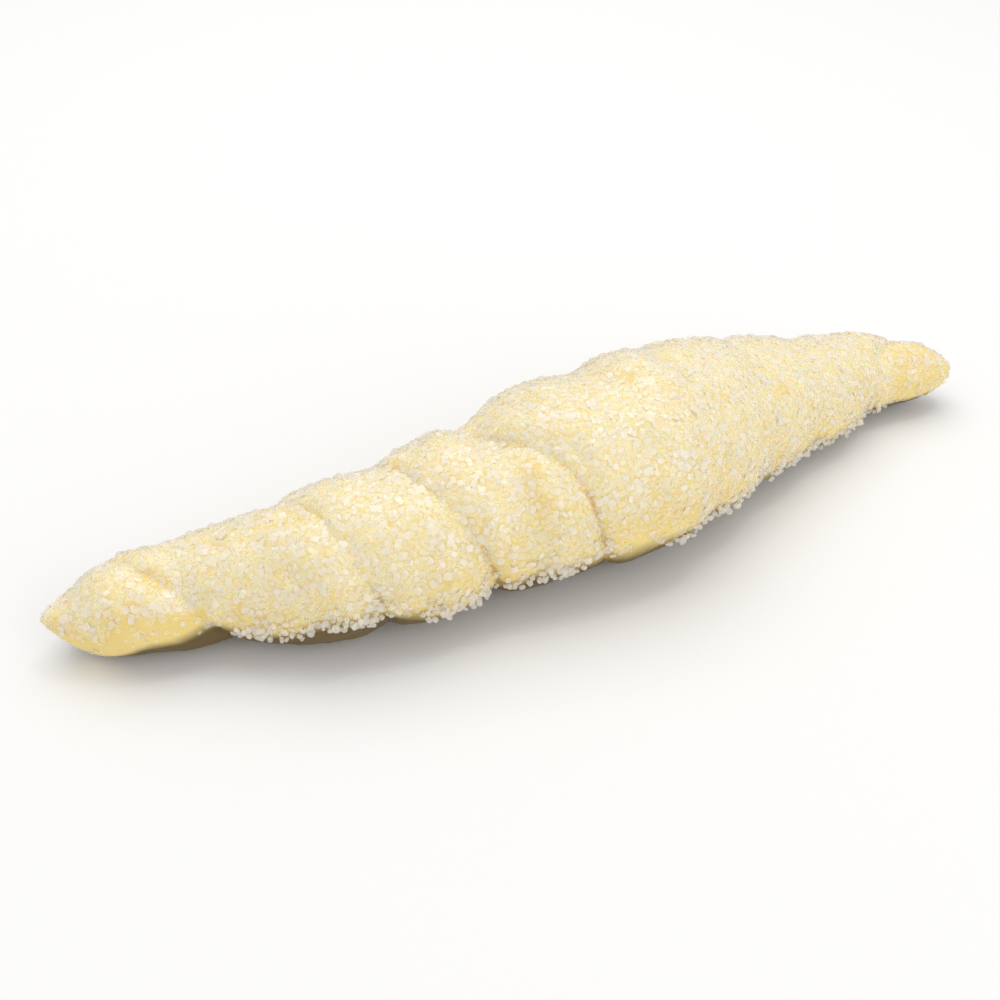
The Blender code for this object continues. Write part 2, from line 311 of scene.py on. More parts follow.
class PastrySizes(bpy.types.PropertyGroup):
    dent_height: FloatProperty(
        name="Dent height", description="Depth of the dents that sugar presses into the dough",
        default=0.00009, min=0.0, unit="LENGTH")
    dent_size: FloatProperty(
        name="Dent size", description="Distance between the dents", default=0.0011, min=0.0002, unit="LENGTH")
    crack_depth: FloatProperty(
        name="Crack depth", description="Depth of the narrow cracks where one wrap tucks under the next",
        default=0.00038, min=0.0, unit="LENGTH")
    crack_width: FloatProperty(
        name="Crack width", description="Half the width of those cracks", default=0.00038, min=0.0001,
        unit="LENGTH")
    coarse_size: FloatProperty(
        name="Coarse crystal", description="Usual width of a coarse crystal", default=0.00078, min=0.0002,
        unit="LENGTH")
    medium_size: FloatProperty(
        name="Medium crystal", description="Usual width of a medium crystal", default=0.00062, min=0.0002,
        unit="LENGTH")
    fine_size: FloatProperty(
        name="Fine crystal", description="Usual width of a fine crystal", default=0.00040, min=0.0001,
        unit="LENGTH")
    milky_count: IntProperty(
        name="Milky crystals", description="Most milky crystals in the coat", default=2200, min=0)
    coarse_count: IntProperty(
        name="Coarse crystals", description="Most clear coarse crystals in the coat", default=2800, min=0)
    medium_count: IntProperty(
        name="Medium crystals", description="Most medium crystals in the coat", default=6000, min=0)
    fine_count: IntProperty(
        name="Fine crystals", description="Most fine crystals in the coat", default=6000, min=0)
    flatness: FloatProperty(
        name="Flatness", description="How much the crystals of the coat lie pressed along the dough",
        subtype="FACTOR", default=0.35, min=0.0, max=0.9)
    rim_milkiness: FloatProperty(
        name="Rim crystals", description="How much a crystal on the rims hides what is behind it",
        subtype="FACTOR", default=0.50, min=0.0, max=1.0)
    milkiness: FloatProperty(
        name="Milkiness", description="How much a milky crystal hides what is behind it", subtype="FACTOR",
        default=0.60, min=0.0, max=1.0)
    clearness: FloatProperty(
        name="Clear crystals", description="How much a clear crystal hides what is behind it",
        subtype="FACTOR", default=0.32, min=0.0, max=1.0)
    seed: IntProperty(name="Seed", description="Start of every random draw", default=7)


class PastryColors(bpy.types.PropertyGroup):
    dough: FloatVectorProperty(
        name="Dough", description="Colour of bare dough", subtype="COLOR", default=(0.92, 0.725, 0.285),
        min=0.0, max=1.0)
    dough_pale: FloatVectorProperty(
        name="Pale dough", description="Colour of dough under a film of sugar", subtype="COLOR",
        default=(0.95, 0.83, 0.48), min=0.0, max=1.0)
    # Partly painted shade: a deeper orange dough colour in the cracks that also stands in for the shade deep
    # in the creases
    crack: FloatVectorProperty(
        name="Crack", description="Colour deep between two wraps", subtype="COLOR",
        default=(0.88, 0.62, 0.21), min=0.0, max=1.0)
    # Painted shade: a dark brown that stands in for the shade under the roll, on its bare underside
    underside: FloatVectorProperty(
        name="Underside", description="Colour of the bare dough on the underside", subtype="COLOR",
        default=(0.155, 0.108, 0.043), min=0.0, max=1.0)
    sugar: FloatVectorProperty(
        name="Sugar", description="Colour of a milky crystal", subtype="COLOR", default=(0.99, 0.95, 0.88),
        min=0.0, max=1.0)
    sugar_clear: FloatVectorProperty(
        name="Clear sugar", description="Colour of a clearer crystal, tinted by the dough", subtype="COLOR",
        default=(0.97, 0.895, 0.68), min=0.0, max=1.0)
    floor: FloatVectorProperty(
        name="Floor", description="Colour of the plain floor", subtype="COLOR", default=(0.96, 0.96, 0.96),
        min=0.0, max=1.0)


class PastryStage(bpy.types.PropertyGroup):
    lens: FloatProperty(
        name="Lens", description="Focal length on a 36 mm wide sensor", default=43.2, min=10.0,
        unit="CAMERA")
    camera_azimuth: FloatProperty(
        name="Camera azimuth", description="Turn of the camera round the roll", subtype="ANGLE",
        default=math.radians(-23.83))
    camera_elevation: FloatProperty(
        name="Camera elevation", description="Tilt of the camera above the floor", subtype="ANGLE",
        default=math.radians(38.84))
    camera_place: FloatVectorProperty(
        name="Camera place", description="Where the camera stands", subtype="TRANSLATION",
        default=(-0.0611, -0.1149, 0.1093))
    key_power: FloatProperty(
        name="Key power", description="Power of the large soft lamp overhead", default=1.32, min=0.0,
        unit="POWER")
    fill_power: FloatProperty(
        name="Fill power", description="Power of the soft lamp in front", default=1.00, min=0.0, unit="POWER")
    glint_power: FloatProperty(
        name="Glint power", description="Power of the small lamp that makes the crystals glint",
        default=0.11, min=0.0, unit="POWER")
    sky: FloatProperty(
        name="Sky", description="Strength of the even light from all round", default=0.66, min=0.0)


def smooth_values(places, knots):
    """Values at places on the smooth curve through (place, value) knots, level past both ends."""
    spots = np.array([knot[0] for knot in knots])
    heights = np.array([knot[1] for knot in knots])
    steps = np.diff(spots)
    rises = np.diff(heights) / steps
    slopes = np.concatenate([
        rises[:1],
        (rises[:-1] * steps[1:] + rises[1:] * steps[:-1]) / (steps[:-1] + steps[1:]),
        rises[-1:],
    ])
    inside = np.clip(places, spots[0], spots[-1])
    low = np.clip(np.searchsorted(spots, inside, side="right") - 1, 0, len(steps) - 1)
    step = steps[low]
    share = (inside - spots[low]) / step
    curve = (2 * share ** 3 - 3 * share ** 2 + 1) * heights[low]
    curve = curve + (3 * share ** 2 - 2 * share ** 3) * heights[low + 1]
    curve = curve + (share ** 3 - 2 * share ** 2 + share) * step * slopes[low]
    return curve + (share ** 3 - share ** 2) * step * slopes[low + 1]


def edge_knots(laps, start_x):
    """Total angle against x, and against depth, along one edge of the strip from its start to its point."""
    route = [(EDGE_START_ANGLE, start_x)]
    depths = [(EDGE_START_ANGLE, 0.0)]
    for turn, (top, shoulder, front, shallow, deep) in enumerate(laps):
        base = FULL_TURN * turn
        route += [(TOP_ANGLE + base, top), (SHOULDER_ANGLE + base, shoulder), (FRONT_ANGLE + base, front)]
        depths += [(SHALLOW_ANGLE + base, shallow), (DEEP_ANGLE + base, deep)]
    end = route[-1][0] + APEX_TURN
    route.append((end, APEX_X))
    depths.append((end, 0.0))
    return route, depths


NEAR_EDGE = edge_knots(NEAR_EDGE_LAPS, NEAR_EDGE_START)
FAR_EDGE = edge_knots(FAR_EDGE_LAPS, FAR_EDGE_START)


def noise_values(points, size, shift=0.0):
    """Smooth noise from about -1 to 1 at an array of points, with features of this size."""
    offset = Vector((shift, shift, shift))
    return np.fromiter((noise.noise(Vector(point) / size + offset) for point in points), float, len(points))


def crease_drop(offset):
    """Share of a crease's depth at an offset from it: a round lip on one side, a slope on the other."""
    lip = np.clip(offset / LIP_WIDTH, 0.0, 1.0)
    slope = np.clip(-offset / SLOPE_WIDTH, 0.0, 1.0)
    return np.where(offset >= 0, 1 - np.sqrt(1 - (1 - lip) ** 2), (1 - slope) ** 2)


def crease_form(x, angle, crack_width, wobble):
    """Depth of the creases under the crowns, and nearness to a crack, at arrays of x and angle."""
    depth = np.zeros_like(x)
    nearness = np.zeros_like(x)
    shoulder = np.exp(-((angle - SHOULDER_ANGLE) / SHOULDER_REACH) ** 2)
    edges = (
        (NEAR_EDGE, 1, NEAR_CREASE_FILL, NEAR_CREASE_SOFTNESS * shoulder, NEAR_CRACKS),
        (FAR_EDGE, -1, FAR_CREASE_FILL, FAR_CREASE_SOFTNESS, FAR_CRACKS),
    )
    for (route, depths), side, fill, softness, cracks in edges:
        for turn in range(len(cracks) + 1):
            theta = angle + FULL_TURN * turn
            inside = (theta > route[0][0]) & (theta < route[-1][0])
            strength = np.where(inside, np.maximum(smooth_values(theta, depths), 0.0), 0.0)
            offset = side * (x - smooth_values(theta, route)) + wobble
            valley = np.cos(np.clip(offset / VALLEY_WIDTH, -1.0, 1.0) * np.pi / 2) ** 2
            drop = (1 - softness) * crease_drop(offset) + softness * valley
            depth += (1 - fill - SHOULDER_FILL * shoulder) * strength * drop
            if turn < len(cracks):
                share, start, full = cracks[turn]
                open_share = share * np.clip((angle - start) / (full - start), 0.0, 1.0)
                nearness = np.maximum(nearness, inside * open_share * np.exp(-(offset / crack_width) ** 2))
    return depth, nearness


def tip_share(x):
    """From 0 at a tip to 1 where the roll has its full width."""
    near = np.clip((x + HALF_LENGTH) / NEAR_TIP_LENGTH, 0.0, 1.0)
    far = np.clip((HALF_LENGTH - x) / FAR_TIP_LENGTH, 0.0, 1.0)
    return (1 - (1 - near) ** 2) ** NEAR_TIP_POWER * (1 - (1 - far) ** 2) ** FAR_TIP_POWER


def surface_points(x, angle, sizes):
    """Points of the dough and their nearness to a crack. Angle 0 is underneath, 90 behind, 270 in front."""
    half = smooth_values(x, CROWNS)
    turn = np.radians(angle)
    across = np.sin(turn)
    up = -np.cos(turn)
    spots = np.stack([x, half * across, half * up], -1)
    wobble = CREASE_WOBBLE * noise_values(spots, CREASE_WOBBLE_SIZE, SHIFTS["wobble"])
    depth, nearness = crease_form(x, angle, sizes.crack_width, wobble)
    broken = CRACK_BREAK_MIDDLE + CRACK_BREAK_SWING * noise_values(spots, CRACK_BREAK_SIZE, SHIFTS["crack"])
    nearness = nearness * np.clip(broken, CRACK_BREAK_LEAST, 1.0)
    relief = LUMP_HEIGHT * noise_values(spots, LUMP_SIZE)
    relief = relief + sizes.dent_height * noise_values(spots, sizes.dent_size, SHIFTS["dents"])
    relief = relief + SWELL_HEIGHT * noise_values(spots, SWELL_SIZE, SHIFTS["swells"])
    inset = depth - relief + sizes.crack_depth * nearness
    share = tip_share(x)
    y = smooth_values(x, BEND) + share * (half - inset) * across
    middle = SINK_SHARE * HEIGHT_SHARE * half + smooth_values(x, TIP_LIFTS)
    z = middle + share * (half * HEIGHT_SHARE - inset) * up
    return np.stack([x, y, np.maximum(z, 0.0)], -1), nearness


def wrap_edges(angle):
    """The x of the tips and of the eight creases between them, one row for each angle."""
    near = [smooth_values(angle + FULL_TURN * turn, NEAR_EDGE[0]) for turn in range(len(NEAR_EDGE_LAPS))]
    far = [smooth_values(angle + FULL_TURN * turn, FAR_EDGE[0]) for turn in range(len(FAR_EDGE_LAPS))]
    tip = np.full_like(angle, HALF_LENGTH)
    return np.stack([-tip] + near + far[::-1] + [tip], -1)


def blended_edges(angle):
    """The same edges, drawn together underneath so that the mesh lines close on themselves."""
    closed = (wrap_edges(np.array([0.0])) + wrap_edges(np.array([FULL_TURN]))) / 2
    share = np.minimum(angle / BLEND_BACK, (FULL_TURN - angle) / (FULL_TURN - BLEND_FRONT))
    share = np.clip(share, 0.0, 1.0)[:, None]
    share = share * share * (3 - 2 * share)
    return closed + (wrap_edges(angle) - closed) * share


def line_shares(count, lip_first, lip_last):
    """Shares of the way across a wrap for its mesh lines, closer together at its lips."""
    steps = np.arange(count) / count
    if lip_first and lip_last:
        return 0.5 - 0.5 * np.cos(np.pi * steps)
    if lip_first:
        return steps ** LIP_CROWDING
    return 1 - (1 - steps) ** LIP_CROWDING


def line_places(angle):
    """The x of every mesh line, one row for each angle."""
    edges = blended_edges(angle)
    wraps = edges.shape[1] - 1
    middle = wraps // 2
    places = []
    for wrap in range(wraps):
        lip_first = wrap <= middle
        lip_last = wrap >= middle
        count = MIDDLE_LINES if wrap == middle else SIDE_LINES
        if wrap in (0, wraps - 1):
            count = END_LINES
        shares = line_shares(count, lip_first, lip_last)
        if wrap == 0:
            shares = shares[1:]
        start = edges[:, wrap:wrap + 1]
        places.append(start + (edges[:, wrap + 1:wrap + 2] - start) * shares)
    return np.concatenate(places, 1)


def box_share(value, low, high, border):
    """1 inside a range, falling smoothly to 0 over the border outside it."""
    outside = np.maximum(low - value, value - high)
    return 1 - np.clip(outside / border, 0.0, 1.0)


def above_underside(x, angle):
    """Degrees round the roll from the border of the bare underside, more than 0 above it."""
    front = smooth_values(x, UNDERSIDE_EDGE) - angle
    return np.where(angle < TOP_ANGLE, angle - UNDERSIDE_BACK, front)


def sugar_cover(x, angle, points, nearness):
    """How thickly sugar lies at each place, from 0 to about 1."""
    wave = UNDERSIDE_WAVE * noise_values(points, UNDERSIDE_WAVE_SIZE, SHIFTS["underside"])
    above = above_underside(x, angle) + wave
    cover = UNDERSIDE_SHARE + (1 - UNDERSIDE_SHARE) * np.clip(above / UNDERSIDE_BORDER, 0.0, 1.0)
    cover = cover * (1 - FRONT_THINNING * np.clip((angle - SHOULDER_ANGLE) / FRONT_REACH, 0.0, 1.0))
    for x_low, x_high, angle_low, angle_high, share in THIN_SUGAR:
        inside = box_share(x, x_low, x_high, THIN_BORDER_X)
        inside = inside * box_share(angle, angle_low, angle_high, THIN_BORDER_ANGLE)
        cover = cover * (1 - inside * (1 - share))
    spots = -noise_values(points, THIN_SPOT_SIZE, SHIFTS["thin_spots"])
    thin = np.clip((spots - THIN_SPOT_START) / THIN_SPOT_FADE, 0.0, 1.0)
    cover = cover * (1 - THIN_SPOT_LOSS * thin)
    patches = noise_values(points, PATCH_SIZE, SHIFTS["patches"])
    patches = patches + PATCH_DETAIL_SHARE * noise_values(points, PATCH_DETAIL_SIZE, SHIFTS["patch_detail"])
    lower = np.clip((np.abs(angle - TOP_ANGLE) - PATCH_TOP_ANGLE) / PATCH_TOP_FADE, 0.0, 1.0)
    bare = np.clip((-patches - PATCH_START + PATCH_MORE_BELOW * lower) / PATCH_FADE, 0.0, 1.0)
    cover = cover * (1 - PATCH_LOSS * bare)
    cover = np.where(above < UNDERSIDE_LIMIT, 0.0, cover)
    return np.clip(cover * (1 - CRACK_LOSS * np.clip(nearness, 0.0, 1.0)), 0.0, 1.0)


def new_object(name, points, faces):
    """An object made from arrays of points and faces."""
    mesh = bpy.data.meshes.new(name)
    mesh.from_pydata(points.tolist(), [], faces)
    mesh.validate()
    made = bpy.data.objects.new(name, mesh)
    bpy.context.scene.collection.objects.link(made)
    return made


def add_values(mesh, name, values):
    """Stores one number at each point of a mesh, for its material to read."""
    layer = mesh.attributes.new(name, "FLOAT", "POINT")
    layer.data.foreach_set("value", np.asarray(values, np.float32))


def make_dough(sizes):
    """The rolled strip as one closed mesh, with its sugar cover, its cracks and its painted underside shade
    stored at its points.
    """
    angles = np.arange(SIDES) * FULL_TURN / SIDES
    places = line_places(angles)
    rows = places.shape[1]
    x = places.ravel()
    angle = np.repeat(angles, rows)
    points, nearness = surface_points(x, angle, sizes)
    tips, _ = surface_points(np.array([-HALF_LENGTH, HALF_LENGTH]), np.zeros(2), sizes)
    near_tip = len(points)
    far_tip = near_tip + 1
    faces = []
    for side in range(SIDES):
        this = side * rows
        following = (side + 1) % SIDES * rows
        faces.append((near_tip, this, following))
        faces.append((far_tip, following + rows - 1, this + rows - 1))
        for row in range(rows - 1):
            faces.append((this + row, this + row + 1, following + row + 1, following + row))
    dough = new_object(DOUGH, np.concatenate([points, tips]), faces)
    cover = sugar_cover(x, angle, points, nearness)
    add_values(dough.data, "sugar", np.concatenate([cover, [TIP_COVER, TIP_COVER]]))
    add_values(dough.data, "crack", np.concatenate([nearness, [0.0, 0.0]]))
    # Painted shade: the share by which the dough is darkened, rising below the border of the bare underside
    under = np.clip((UNDERSIDE_FADE_START - above_underside(x, angle)) / UNDERSIDE_FADE, 0.0, 1.0)
    add_values(dough.data, "underside", np.concatenate([under, [0.0, 0.0]]))
    shape = bmesh.new()
    shape.from_mesh(dough.data)
    bmesh.ops.recalc_face_normals(shape, faces=shape.faces)
    shape.to_mesh(dough.data)
    shape.free()
    dough.data.shade_smooth()
    return dough


def add_node(tree, kind, **values):
    """A shader node with some of its inputs or settings given by name."""
    made = tree.nodes.new(kind)
    for name, value in values.items():
        title = name.replace("_", " ")
        if title in made.inputs:
            made.inputs[title].default_value = value
        else:
            setattr(made, name, value)
    return made


def mix_colors(tree, share, first, second):
    """A mix of two colours, each a value or a socket, by a share that is a socket."""
    made = add_node(tree, "ShaderNodeMix", data_type="RGBA")
    tree.links.new(share, made.inputs["Factor"])
    for socket, source in ((made.inputs[6], first), (made.inputs[7], second)):
        if isinstance(source, bpy.types.NodeSocket):
            tree.links.new(source, socket)
        else:
            socket.default_value = (*source, 1.0)
    return made.outputs[2]


def ramp(tree, source, low, high):
    """A share that rises from 0 to 1 as the source goes from low to high."""
    made = add_node(tree, "ShaderNodeMapRange", From_Min=low, From_Max=high)
    tree.links.new(source, made.inputs["Value"])
    return made.outputs["Result"]


def speckle(tree, scale, detail=3.0):
    """Noise on the object's own coordinates."""
    place = add_node(tree, "ShaderNodeTexCoord")
    made = add_node(tree, "ShaderNodeTexNoise", Scale=scale, Detail=detail)
    tree.links.new(place.outputs["Object"], made.inputs["Vector"])
    return made.outputs["Fac"]


def new_material(name):
    """A material with its node tree and its shader."""
    made = bpy.data.materials.new(name)
    made.use_nodes = True
    return made, made.node_tree, made.node_tree.nodes["Principled BSDF"]


def grains(tree, scale):
    """Cells like pressed-in grains on the object's own coordinates: height, and a tint for each grain."""
    place = add_node(tree, "ShaderNodeTexCoord")
    made = add_node(tree, "ShaderNodeTexVoronoi", Scale=scale)
    tree.links.new(place.outputs["Object"], made.inputs["Vector"])
    parts = add_node(tree, "ShaderNodeSeparateColor")
    tree.links.new(made.outputs["Color"], parts.inputs["Color"])
    return made.outputs["Distance"], parts.outputs["Red"]


def scaled(tree, operation, first, second):
    """The result of one sum or product of two sockets or numbers."""
    made = add_node(tree, "ShaderNodeMath", operation=operation)
    for socket, source in zip(made.inputs, (first, second)):
        if isinstance(source, bpy.types.NodeSocket):
            tree.links.new(source, socket)
        else:
            socket.default_value = source
    return made.outputs[0]


def dough_material(colors):
    """Pale buttery dough: yellow where bare, creamy with pressed-in sugar, a deeper orange in the cracks that
    is partly painted crease shade, and a painted shade that darkens the bare underside.
    """
    made, tree, shader = new_material("pale_dough")
    sugar = add_node(tree, "ShaderNodeAttribute", attribute_name="sugar").outputs["Fac"]
    crack = add_node(tree, "ShaderNodeAttribute", attribute_name="crack").outputs["Fac"]
    under = add_node(tree, "ShaderNodeAttribute", attribute_name="underside").outputs["Fac"]
    height, tint = grains(tree, GRAIN_SCALE)
    blotches = ramp(tree, speckle(tree, BLOTCH_SCALE), *BLOTCH_RANGE)
    yellow = mix_colors(tree, blotches, colors.dough, [BLOTCH_SHADE * c for c in colors.dough])
    grainy = scaled(tree, "MULTIPLY", sugar, ramp(tree, tint, *GRAIN_FILM_RANGE))
    film = ramp(tree, grainy, *FILM_RANGE)
    pale = mix_colors(tree, film, yellow, colors.dough_pale)
    # Painted shade: the bare underside is darkened towards the dark brown underside colour
    worn_and_shaded = mix_colors(tree, under, pale, colors.underside)
    # Partly painted shade: the cracks take a deeper orange, darker than the dough around them
    final = mix_colors(tree, ramp(tree, crack, *CRACK_RANGE), worn_and_shaded, colors.crack)
    tree.links.new(final, shader.inputs["Base Color"])
    shader.inputs["Roughness"].default_value = DOUGH_ROUGHNESS
    shader.inputs["Specular IOR Level"].default_value = DOUGH_SPECULAR
    shader.inputs["Subsurface Weight"].default_value = DOUGH_SUBSURFACE
    shader.inputs["Subsurface Radius"].default_value = DOUGH_SUBSURFACE_RADIUS
    shader.inputs["Subsurface Scale"].default_value = DOUGH_SUBSURFACE_SCALE
    pressed = scaled(tree, "MULTIPLY", scaled(tree, "MULTIPLY", height, PRESSED_HEIGHT), sugar)
    crumbs = scaled(tree, "MULTIPLY", speckle(tree, CRUMB_SCALE, CRUMB_DETAIL), CRUMB_SHARE)
    relief = scaled(tree, "ADD", pressed, crumbs)
    bump = add_node(tree, "ShaderNodeBump", Strength=DOUGH_BUMP, Distance=DOUGH_BUMP_DISTANCE)
    tree.links.new(relief, bump.inputs["Height"])
    tree.links.new(bump.outputs["Normal"], shader.inputs["Normal"])
    return made


def sugar_material(name, colors, opacity):
    """Half-clear sugar that shows the dough under it, with a tint for each crystal and faint clouds."""
    made, tree, shader = new_material(name)
    island = add_node(tree, "ShaderNodeNewGeometry").outputs["Random Per Island"]
    tint = mix_colors(tree, island, colors.sugar, colors.sugar_clear)
    clouds = ramp(tree, speckle(tree, CLOUD_SCALE), *CLOUD_RANGE)
    final = mix_colors(tree, clouds, tint, colors.sugar)
    tree.links.new(final, shader.inputs["Base Color"])
    shader.inputs["Roughness"].default_value = SUGAR_ROUGHNESS
    shader.inputs["IOR"].default_value = SUGAR_IOR
    shader.inputs["Alpha"].default_value = opacity
    bump = add_node(tree, "ShaderNodeBump", Strength=SUGAR_BUMP, Distance=SUGAR_BUMP_DISTANCE)
    tree.links.new(speckle(tree, SUGAR_BUMP_SCALE, SUGAR_BUMP_DETAIL), bump.inputs["Height"])
    tree.links.new(bump.outputs["Normal"], shader.inputs["Normal"])
    return made


def block_template(cut):
    """Corners and triangles of a unit sugar block; with a cut its edges are bevelled away."""
    shape = bmesh.new()
    bmesh.ops.create_cube(shape, size=1.0)
    if cut > 0:
        bmesh.ops.bevel(shape, geom=shape.edges[:], offset=cut, segments=1, affect="EDGES")
    return template_arrays(shape)


def pebble_template():
    """Corners and triangles of a worn sugar grain with twenty faces."""
    shape = bmesh.new()
    bmesh.ops.create_icosphere(shape, subdivisions=1, radius=PEBBLE_RADIUS)
    return template_arrays(shape)


def template_arrays(shape):
    """The corners and triangles of a bmesh as arrays, and the bmesh freed."""
    bmesh.ops.triangulate(shape, faces=shape.faces[:])
    shape.verts.ensure_lookup_table()
    corners = np.array([corner.co[:] for corner in shape.verts])
    faces = np.array([[corner.index for corner in face.verts] for face in shape.faces])
    shape.free()
    return corners, faces


def random_turns(count, draw):
    """Rotation matrices that turn each crystal every way alike."""
    quats = draw.normal(size=(count, 4))
    w, x, y, z = (quats / np.linalg.norm(quats, axis=1, keepdims=True)).T
    return np.stack([
        np.stack([1 - 2 * (y * y + z * z), 2 * (x * y - z * w), 2 * (x * z + y * w)], -1),
        np.stack([2 * (x * y + z * w), 1 - 2 * (x * x + z * z), 2 * (y * z - x * w)], -1),
        np.stack([2 * (x * z - y * w), 2 * (y * z + x * w), 1 - 2 * (x * x + y * y)], -1),
    ], 1)


def make_crystals(name, template, centres, widths, ups, flatness, draw):
    """One mesh of many crystals, each stretched, slanted, roughened and turned its own way.

    Flatness, from 0 to 1, is how much they lie pressed along the dough. Light scatters inside a crystal and
    comes out evenly, so each facet's normal leans towards the dough's.
    """
    corners, triangles = template
    count = len(centres)
    stretch = np.stack([draw.uniform(least, most, count) for least, most in STRETCHES], -1)
    shapes = corners[None] * (widths[:, None] * stretch)[:, None, :]
    shapes[:, :, 0] += draw.uniform(-SLANT, SLANT, (count, 1)) * shapes[:, :, 2]
    shapes *= draw.uniform(1 - ROUGHENING, 1 + ROUGHENING, shapes.shape)
    shapes = np.einsum("nij,nvj->nvi", random_turns(count, draw), shapes)
    heights = np.einsum("nvi,ni->nv", shapes, ups)
    shapes = shapes - flatness * heights[:, :, None] * ups[:, None, :] + centres[:, None, :]
    shapes[:, :, 2] = np.maximum(shapes[:, :, 2], LOWEST_CORNER)
    faces = (triangles[None] + (np.arange(count) * len(corners))[:, None, None]).reshape(-1, 3)
    made = new_object(name, shapes.reshape(-1, 3), faces.tolist())
    made.data.shade_smooth()
    sides = shapes[:, triangles]
    facets = np.cross(sides[:, :, 1] - sides[:, :, 0], sides[:, :, 2] - sides[:, :, 0])
    facets /= np.maximum(np.linalg.norm(facets, axis=2, keepdims=True), TINY)
    evenness = np.where(draw.random((count, 1)) < GLINT_SHARE, GLINT_EVENNESS, EVENNESS)
    facing = np.einsum("nfi,ni->nf", facets, ups)
    lean = evenness * np.clip(EVENNESS_RISE * facing, -1.0, 1.0)
    leaning = ups[:, None, :] * lean[:, :, None] + facets * (1 - evenness)[:, :, None]
    leaning /= np.maximum(np.linalg.norm(leaning, axis=2, keepdims=True), TINY)
    made.data.normals_split_custom_set(np.repeat(leaning, 3, axis=1).reshape(-1, 3))
    made.visible_shadow = False
    return made


def surface_samples(dough, count, topmost, draw):
    """Random places on the dough, more where its sugar is thicker: their points and normals.

    Topmost, from 0 to 1, is how much the places keep to the dough that faces up.
    """
    mesh = dough.data
    totals = np.empty(len(mesh.polygons), int)
    starts = np.empty(len(mesh.polygons), int)
    areas = np.empty(len(mesh.polygons))
    normals = np.empty(len(mesh.polygons) * 3)
    loops = np.empty(len(mesh.loops), int)
    spots = np.empty(len(mesh.vertices) * 3)
    cover = np.empty(len(mesh.vertices), np.float32)
    mesh.polygons.foreach_get("loop_total", totals)
    mesh.polygons.foreach_get("loop_start", starts)
    mesh.polygons.foreach_get("area", areas)
    mesh.polygons.foreach_get("normal", normals)
    mesh.loops.foreach_get("vertex_index", loops)
    mesh.vertices.foreach_get("co", spots)
    mesh.attributes["sugar"].data.foreach_get("value", cover)
    quads = np.flatnonzero(totals == 4)
    corners = loops[starts[quads][:, None] + np.arange(4)]
    spots = spots.reshape(-1, 3)[corners]
    lifted = spots[:, :, 2].mean(1) > LOWEST_SAMPLE
    facing = 1 - topmost * (0.5 - 0.5 * normals.reshape(-1, 3)[quads, 2])
    weight = areas[quads] * cover[corners].mean(1) * lifted * np.maximum(facing, 0.0)
    picked = draw.choice(len(quads), count, p=weight / weight.sum())
    u = draw.random((count, 1))
    v = draw.random((count, 1))
    first = spots[picked, 0] * (1 - u) + spots[picked, 1] * u
    second = spots[picked, 3] * (1 - u) + spots[picked, 2] * u
    return first * (1 - v) + second * v, normals.reshape(-1, 3)[quads][picked]


class Spacing:
    """Remembers where crystals lie, in cells, so that no two sit in one place."""

    def __init__(self, cell):
        self.cell = cell
        self.cells = {}

    def near(self, point):
        """The crystals in the cells round a point."""
        i, j, k = (int(c // self.cell) for c in point)
        for a in (i - 1, i, i + 1):
            for b in (j - 1, j, j + 1):
                for c in (k - 1, k, k + 1):
                    yield from self.cells.get((a, b, c), ())

    def fits(self, point, reach):
        """Whether a crystal of this reach touches none of the others."""
        x, y, z = point
        for px, py, pz, other in self.near(point):
            gap = reach + other
            if (x - px) ** 2 + (y - py) ** 2 + (z - pz) ** 2 < gap * gap:
                return False
        return True

    def add(self, point, reach):
        """Notes a crystal of this reach."""
        key = tuple(int(c // self.cell) for c in point)
        self.cells.setdefault(key, []).append((*point, reach))


def spread_crystals(dough, spacing, count, tries, width, closeness, sunk, topmost, draw):
    """Places crystals on the dough where they fit: their centres, widths and the dough's normals.

    With few tries for each crystal, thinly sugared dough stays thinly sugared.
    """
    points, normals = surface_samples(dough, int(count * tries), topmost, draw)
    widths = width * np.exp(draw.normal(0.0, SIZE_SPREAD, len(points)))
    depths = draw.uniform(sunk - SINK_SPREAD, sunk + SINK_SPREAD, len(points))
    centres = points + normals * (widths * (0.5 - depths))[:, None]
    kept = []
    for index, (centre, size) in enumerate(zip(centres.tolist(), widths.tolist())):
        if len(kept) == count:
            break
        if spacing.fits(centre, size * closeness):
            spacing.add(centre, size * closeness)
            kept.append(index)
    return centres[kept], widths[kept], normals[kept]


